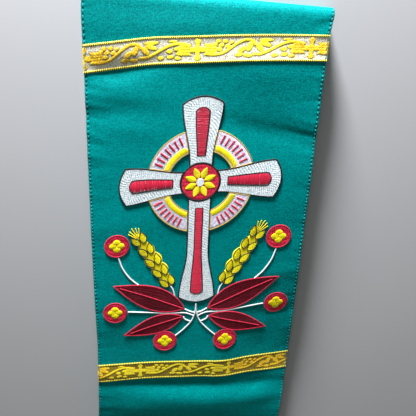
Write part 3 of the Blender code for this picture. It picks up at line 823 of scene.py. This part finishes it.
def leafOutline(length, width, steps=24):
    upper = [(length * t, width / 2 * math.sin(math.pi * t**0.8)) for t in np.linspace(0, 1, steps)]
    return [(a, -b) for a, b in upper] + upper[-2:0:-1]


def earOutline(length, width):
    upper = []
    for t in np.linspace(0, 1, 61):
        grain = 0.72 + 0.28 * abs(math.sin(ear["pairs"] * math.pi * t))
        upper.append((length * t, width / 2 * grain * max(math.sin(math.pi * t**0.85), 0) ** 0.5))
    return [(a, -b) for a, b in upper] + upper[-2:0:-1]


def nearestOnOutline(points, outline):
    # distance to the outline, positive inside, and the nearest point on it
    best, nearest = np.full(len(points), 1e9), points.copy()
    within = np.zeros(len(points), bool)
    for a, b in zip(outline, np.roll(outline, -1, axis=0)):
        side = b - a
        t = np.clip(((points - a) @ side) / max(side @ side, 1e-9), 0, 1)
        close = a + t[:, None] * side
        away = np.hypot(*(points - close).T)
        nearer = away < best
        best[nearer], nearest[nearer] = away[nearer], close[nearer]
        crosses = (a[1] > points[:, 1]) != (b[1] > points[:, 1])
        slope = side[0] / side[1] if abs(side[1]) > 1e-12 else 0
        within ^= crosses & (points[:, 0] < a[0] + (points[:, 1] - a[1]) * slope)
    return np.where(within, best, -best), nearest


def padding(outline, top, shade=0.35):
    # the raised ground under a shape's stitches: a grid trimmed to the outline, crowned, with a flat back
    low, high = outline.min(0) - 0.5, outline.max(0) + 0.5
    middle, half = (low + high) / 2, (high - low) / 2
    counts = [max(3, round(2 * size / sewing["cell"])) for size in half]
    bm = bmesh.new()
    bmesh.ops.create_grid(bm, x_segments=counts[0], y_segments=counts[1], size=1)
    for vert in bm.verts:
        vert.co = (middle[0] + vert.co.x * half[0], middle[1] + vert.co.y * half[1], 0)
    deep, _ = nearestOnOutline(np.array([vert.co[:2] for vert in bm.verts]), outline)
    bmesh.ops.delete(bm, geom=[v for v, d in zip(bm.verts[:], deep) if d < 0.1], context="VERTS")
    rim = [vert for vert in bm.verts if vert.is_boundary]
    _, nearest = nearestOnOutline(np.array([vert.co[:2] for vert in rim]), outline)
    for vert, place in zip(rim, nearest):
        vert.co = (*place, 0)
    bmesh.ops.dissolve_degenerate(bm, dist=0.02, edges=bm.edges)
    raiseFace(bm)
    points, faces, shades = partOf(bm, shade)
    deep, _ = nearestOnOutline(points[:, :2], outline)
    crown = np.sqrt(np.clip(1 - (1 - np.clip(deep / sewing["puffed"], 0, 1)) ** 2, 0, 1))
    height = (top - sewing["low"]) * (0.3 + 0.7 * crown)
    points[:, 2] = sewing["low"] + points[:, 2] * height
    return points, faces, shades


def spans(outline, start, direction):
    # the stretches of a line that lie inside the outline, as pairs of lengths from its start
    side = np.array([-direction[1], direction[0]])
    offsets = (outline - start) @ side
    after = np.roll(offsets, -1)
    crossing = np.nonzero((offsets > 0) != (after > 0))[0]
    share = offsets[crossing] / (offsets[crossing] - after[crossing])
    ends = np.roll(outline, -1, axis=0)
    hits = outline[crossing] + share[:, None] * (ends[crossing] - outline[crossing])
    lengths = np.sort((hits - start) @ direction)
    return list(zip(lengths[::2], lengths[1::2]))


def stitchLines(outline, turn, pitch, fan):
    # where the rows of stitches run: side by side, or fanned out from a centre
    if fan is None:
        direction = np.array([math.cos(math.radians(turn)), math.sin(math.radians(turn))])
        side = np.array([-direction[1], direction[0]])
        reach = (outline @ side).min(), (outline @ side).max()
        return [(side * offset, direction) for offset in np.arange(reach[0] + pitch / 2, reach[1], pitch)]
    angles = np.arange(0, 2 * math.pi, pitch / fan[2])
    return [(np.array(fan[:2]), np.array([math.cos(a), math.sin(a)])) for a in angles]


def satin(outline, turn, top, pitch=0.46, longest=7.0, height=0.62, loose=0.03, shade=(0.3, 1.0),
          fan=None):
    # stitches that fill an outline; fan is a centre and the radius at which the pitch holds
    places = []
    for number, (start, direction) in enumerate(stitchLines(outline, turn, pitch, fan)):
        angle = math.atan2(direction[1], direction[0])
        for low, high in spans(outline, start, direction):
            low = max(low, 0.0) if fan is not None else low
            if high - low < 0.5:
                continue
            step = (high - low) / max(1, math.ceil((high - low) / longest))
            shifted = number % 2 and step < high - low
            first = low + step / 2 if shifted else low + step
            cuts = [low, *np.arange(first, high - step / 4, step), high]
            for begin, end in zip(cuts, cuts[1:]):
                if end - begin < 0.3:
                    continue
                middle = start + direction * (begin + end) / 2
                places.append((*middle, top, angle + dice.normal(0, loose), end - begin + 0.25, pitch * 1.25,
                               height * (1 + dice.normal(0, 0.06)), dice.uniform(*shade)))
    return places


def satinRim(outline, top, width=1.15, pitch=0.36, closed=True, shade=(0.0, 1.0), height=0.75):
    # a narrow border of stitches laid across a line
    ring = np.vstack([outline, outline[:1]]) if closed else np.array(outline)
    lengths = np.concatenate([[0], np.cumsum(np.hypot(*np.diff(ring, axis=0).T))])
    at = np.arange(pitch / 2, lengths[-1], pitch)
    u, v = [np.interp(at, lengths, column) for column in ring.T]
    ahead, behind = [[np.interp(at + d, lengths, c) for c in ring.T] for d in (0.3, -0.3)]
    angle = np.arctan2(ahead[1] - behind[1], ahead[0] - behind[0]) + math.pi / 2 + 0.25
    return [(a, b, top, turn, width * dice.uniform(0.93, 1.05), pitch * 1.5, height, dice.uniform(*shade))
            for a, b, turn in zip(u, v, angle)]


def armPieces():
    rims, inlays, centre = [], [], (0, cross["v"])
    for name, (turn, length) in cross["arms"].items():
        outline = turned(armOutline(length), turn, *centre)
        fill = satin(outline, cross["stitchTurn"], sewing["stitchTop"], **silverFill)
        motif(f"crossArm_{name}", f"cross_arm_{name}", outline, fill, "silver")
        rims += satinRim(outline, 2.75)
        bar = turned(inlayOutline(length), turn, *centre)
        inlays += satin(bar, turn + 90, inlay["top"], pitch=0.42, longest=12, height=0.6)
        rims += satinRim(bar, inlay["top"], width=0.85, height=0.6)
    sewn("crossInlays", [stitches(inlays)], "crimson")
    return rims


def ringPieces():
    centre, lengths = (0, cross["v"]), [length for _, length in cross["arms"].values()]
    borders, glow, beams = [], [], []
    radius, margin = ringDetail["bandRadius"], ringDetail["rayMargin"]
    for number, (turn, length) in enumerate(cross["arms"].values()):
        nextLength = lengths[(number + 1) % 4]
        outline = turned(quarterOutline(length, nextLength), turn, *centre)
        fill = satin(outline, 0, sewing["stitchTop"], longest=8, fan=(*centre, ringDetail["fanRadius"]),
                     shade=(0.2, 1.0))
        motif(f"ringQuarter_{number + 1}", f"ring_quarter_{number + 1}", outline, fill, "lilac")
        borders += satinRim(outline, 2.82, width=0.75)
        low, high = [math.asin((armHalfWidth(radius, reach) + 1) / radius) for reach in (length, nextLength)]
        bow = turned(onCircle(radius, np.linspace(low, math.pi / 2 - high, 30)), turn, *centre)
        glow += satinRim(bow, ringDetail["bandTop"], ringDetail["bandWidth"], 0.46, closed=False, height=0.6)
        for a in np.linspace(margin, math.pi / 2 - margin, ringDetail["rays"]):
            ray = turned([onCircle(reach, [a])[0] for reach in ringDetail["rayReach"]], turn, *centre)
            beams += satinRim(ray, ringDetail["rayTop"], ringDetail["rayWidth"], 0.4, closed=False)
    sewn("ringBorders", [stitches(borders)], "gold")
    sewn("ringGlow", [stitches(glow)], "yellow")
    sewn("ringRays", [stitches(beams)], "crimson")


def rosettePieces():
    centre = (0, cross["v"])
    outline = turned(discOutline(cross["rosette"]), 0, *centre)
    fill = satin(outline, 90, sewing["stitchTop"], longest=6.5)
    motif("rosetteGround", "rosette", outline, fill, "crimson")
    petals = []
    for number in range(rosette["petals"]):
        turn = (number + 0.5) * 360 / rosette["petals"]
        start = turned([(rosette["petalsFrom"], 0)], turn, *centre)[0]
        petal = turned(leafOutline(rosette["petalLength"], rosette["petalWidth"], 12), turn, *start)
        petals += satin(petal, turn + 90, 3.02, pitch=0.42, height=0.55)
    heart = satin(turned(discOutline(rosette["heart"], 16), 0, *centre), 0, 3.1, pitch=0.42, height=0.6)
    sewn("rosettePetals", [stitches(petals)], "yellow")
    sewn("rosetteHeart", [stitches(heart)], "silver")
    return satinRim(outline, 2.78, width=1.1)


def leafPieces(kind):
    u, v, turn, length, width = spray[kind]
    veins = []
    for side, name in zip(sides, ("left", "right")):
        whole = leafOutline(length, width)
        steps = len(whole) // 2 + 1
        fill = []
        for half, slant in ((whole[:steps], -leafSlant), (whole[steps - 1:] + whole[:1], leafSlant)):
            angle = turn + slant if side > 0 else 180 - turn - slant
            fill += satin(placed(side, half, turn, u, v), angle, sewing["stitchTop"], pitch=0.48, longest=6.5,
                          shade=(0.1, 1.0))
        outline = placed(side, whole, turn, u, v)
        motif(f"{kind}_{name}Stitched", f"{kind}_{name}", outline, fill, "darkRed")
        veins += satinRim(outline, 2.76, width=1.15)
        rib = placed(side, [(1.5, 0), (length * 0.5, 0.3), (length - 5, 0)], turn, u, v)
        veins += satinRim(rib, 3.0, width=0.95, closed=False)
    return veins


def earPieces():
    u, v, turn, length, width = spray["wheat_ear"]
    rims, awns = [], []
    for side, name in zip(sides, ("left", "right")):
        fill = []
        for pair in range(ear["pairs"]):
            along = (pair + 0.5) / ear["pairs"] * length
            size = ear["grainLength"] - 0.5 * abs(pair - 1.5)
            for lean in sides:
                grain = turned(leafOutline(size, ear["grainWidth"], 12), lean * ear["lean"],
                               along - size * 0.52, lean * width * 0.13)
                grain = placed(side, grain, turn, u, v)
                angle = turn + lean * ear["stitchLean"]
                fill += satin(grain, angle if side > 0 else 180 - angle, sewing["stitchTop"], pitch=0.44)
                rims += satinRim(grain, 2.86, width=0.62, height=0.6)
        for lean in ear["awnLeans"]:
            awn = turned([(0, 0), (ear["awnLength"] - abs(lean) / 13, 0)], lean, length - 3.5, lean * 0.05)
            awns += satinRim(placed(side, awn, turn, u, v), 2.3, width=0.75, closed=False, pitch=0.4)
        outline = placed(side, earOutline(length, width), turn, u, v)
        motif(f"wheatEar_{name}", f"wheat_ear_{name}", outline, fill, "yellow", sewing["baseTop"] - 0.15)
    sewn("wheatAwns", [stitches(awns)], "yellow")
    return rims


def flowerPieces():
    quatrefoils, rims = [], []
    for kind in ("flower_high", "flower_side", "flower_low"):
        u, v, _, _, width = spray[kind]
        for side, name in zip(sides, ("left", "right")):
            outline = turned(discOutline(width / 2), 0, side * u, v)
            fill = satin(outline, 90, sewing["stitchTop"], longest=9)
            motif(f"{kind}_{name}Stitched", f"{kind}_{name}", outline, fill, "crimson")
            for middle in turned(discOutline(flowerHeart["lobeAt"], 4), 0, side * u, v):
                lobe = turned(discOutline(flowerHeart["lobe"], 20), 0, *middle)
                quatrefoils += satin(lobe, 90, 3.04, pitch=0.42, height=0.6)
            rims += satinRim(outline, 2.8, width=1.0, shade=(0.5, 1.0))
    sewn("quatrefoils", [stitches(quatrefoils)], "yellow")
    sewn("flowerRims", [stitches(rims)], "crimson")


# strings from the cross's foot to the ears, leaves and flowers, on the right
stems = [
    [(0, 61), (0.4, 54), (3, 46), (9, 38.5), (15.4, 32.6)],
    [(3.4, 45), (8, 47.5), (9.2, 50)],
    [(1, 53), (5, 54.5), (8.4, 56.6)],
    [(0.9, 49.8), (5, 52), (9.5, 53.2), (22, 53.6), (36, 55.2), (50.8, 57)],
    [(15.9, 67.8), (17, 73), (19, 77)],
    [(42, 79), (48.5, 85.5), (53.6, 94), (56.2, 102.8)],
]


def stemPieces():
    lines = [smoothLine(points) for points in stems]
    # the rope's ridge is the strings' shade mark, so their grooves are painted a little darker, as shade
    strings = [rope(shape, 0.62, 2.35, depth=0.2) for line in lines for shape in (line, mirrored(line))]
    sewn("whiteStrings", strings, "white")


def embroidery():
    for name in threadColours:
        threads[name] = thread(name, **threadDetails.get(name, {}))
    rims = armPieces()
    ringPieces()
    rims += rosettePieces()
    edges = leafPieces("leaf_long") + leafPieces("leaf_short")
    rims += earPieces()
    flowerPieces()
    stemPieces()
    sewn("blackOutlines", [stitches(rims)], "black")
    sewn("leafEdges", [stitches(edges)], "crimson")


# studio

studio = {
    "cameraAt": (-0.00044, 0.16108, 0.3063), "yaw": -2.060, "pitch": -19.766, "roll": 2.801, "lens": 38.38,
    "floorColour": (0.5, 0.5, 0.51), "lampColour": (0.98, 1, 1.05), "skyColour": (0.95, 1, 0.84, 1),
    "keyAt": (-0.096, 0.76, 0.15), "keySize": 0.16, "keyPower": 17.7,
    "fillAt": (-0.1, 0.21, 0.8), "fillSize": 0.5, "fillPower": 0.8, "skyStrength": 0.105,
}


def softLight(name, place, size, power):
    light = bpy.data.lights.new(name, "AREA")
    light.shape, light.size, light.energy, light.color = "DISK", size, power, studio["lampColour"]
    lamp = bpy.data.objects.new(name, light)
    toTarget = Matrix.Translation(place).to_translation() * -1
    lamp.location = place
    lamp.rotation_mode = "QUATERNION"
    lamp.rotation_quaternion = toTarget.to_track_quat("-Z", "Y")
    lamp.visible_camera = False
    bpy.context.scene.collection.objects.link(lamp)


def studioFloor():
    bm = bmesh.new()
    bmesh.ops.create_grid(bm, x_segments=1, y_segments=1, size=2.5)
    mesh = bpy.data.meshes.new("studioFloor")
    bm.to_mesh(mesh)
    bm.free()
    mesh.transform(Matrix.Translation((0, 0, -0.0003)))
    finish = Finish("paleFloor", Specular_IOR_Level=0.2)
    where = finish.add("ShaderNodeTexCoord", {}, {}, out=3)
    cloud = finish.noise(where, 9.0, 2)
    colour = finish.blend(cloud, studio["floorColour"], [c * 1.05 for c in studio["floorColour"]])
    mesh.materials.append(finish.finished(colour, 0.75))
    floor = bpy.data.objects.new("studioFloor", mesh)
    bpy.context.scene.collection.objects.link(floor)


def studioCamera():
    data = bpy.data.cameras.new("photoCamera")
    data.lens, data.sensor_width = studio["lens"], 36
    camera = bpy.data.objects.new("photoCamera", data)
    yaw, pitch, roll = [math.radians(studio[name]) for name in ("yaw", "pitch", "roll")]
    turn = Matrix.Rotation(yaw, 4, "Y") @ Matrix.Rotation(pitch, 4, "X") @ Matrix.Rotation(roll, 4, "Z")
    camera.matrix_world = Matrix.Translation(studio["cameraAt"]) @ turn
    bpy.context.scene.collection.objects.link(camera)
    bpy.context.scene.camera = camera


def studioLight():
    softLight("keyLight", studio["keyAt"], studio["keySize"], studio["keyPower"])
    softLight("fillLight", studio["fillAt"], studio["fillSize"], studio["fillPower"])
    world = bpy.data.worlds.new("studioSky")
    world.use_nodes = True
    world.node_tree.nodes["Background"].inputs["Color"].default_value = studio["skyColour"]
    world.node_tree.nodes["Background"].inputs["Strength"].default_value = studio["skyStrength"]
    bpy.context.scene.world = world
    bpy.context.scene.view_settings.view_transform = "Standard"


studioCamera()
studioFloor()
studioLight()
print("studio ready")

gabardine = greenGabardine()
frontPanel(gabardine)
foldedInside(gabardine)
edgeStitches(sewingThread())
print("cloth laid")

cords = goldCord()
creamWeave = galloonWeave("creamGalloon", (1.0, 0.97, 0.8), (0.42, 0.28, 0.04), 0.45)
oliveWeave = galloonWeave("oliveGalloon", (0.42, 0.29, 0.025), (0.08, 0.05, 0.003), 0.45)
galloon("upperGalloon", "galloon_upper", stole["upperBand"], -5, creamWeave, cords, [(-90, -30), (48, 90)])
galloon("lowerGalloon", "galloon_lower", stole["lowerBand"], -41.7, oliveWeave, cords, [(-90, -62), (24, 90)])
print("galloons sewn on")

embroidery()
print("embroidery done")
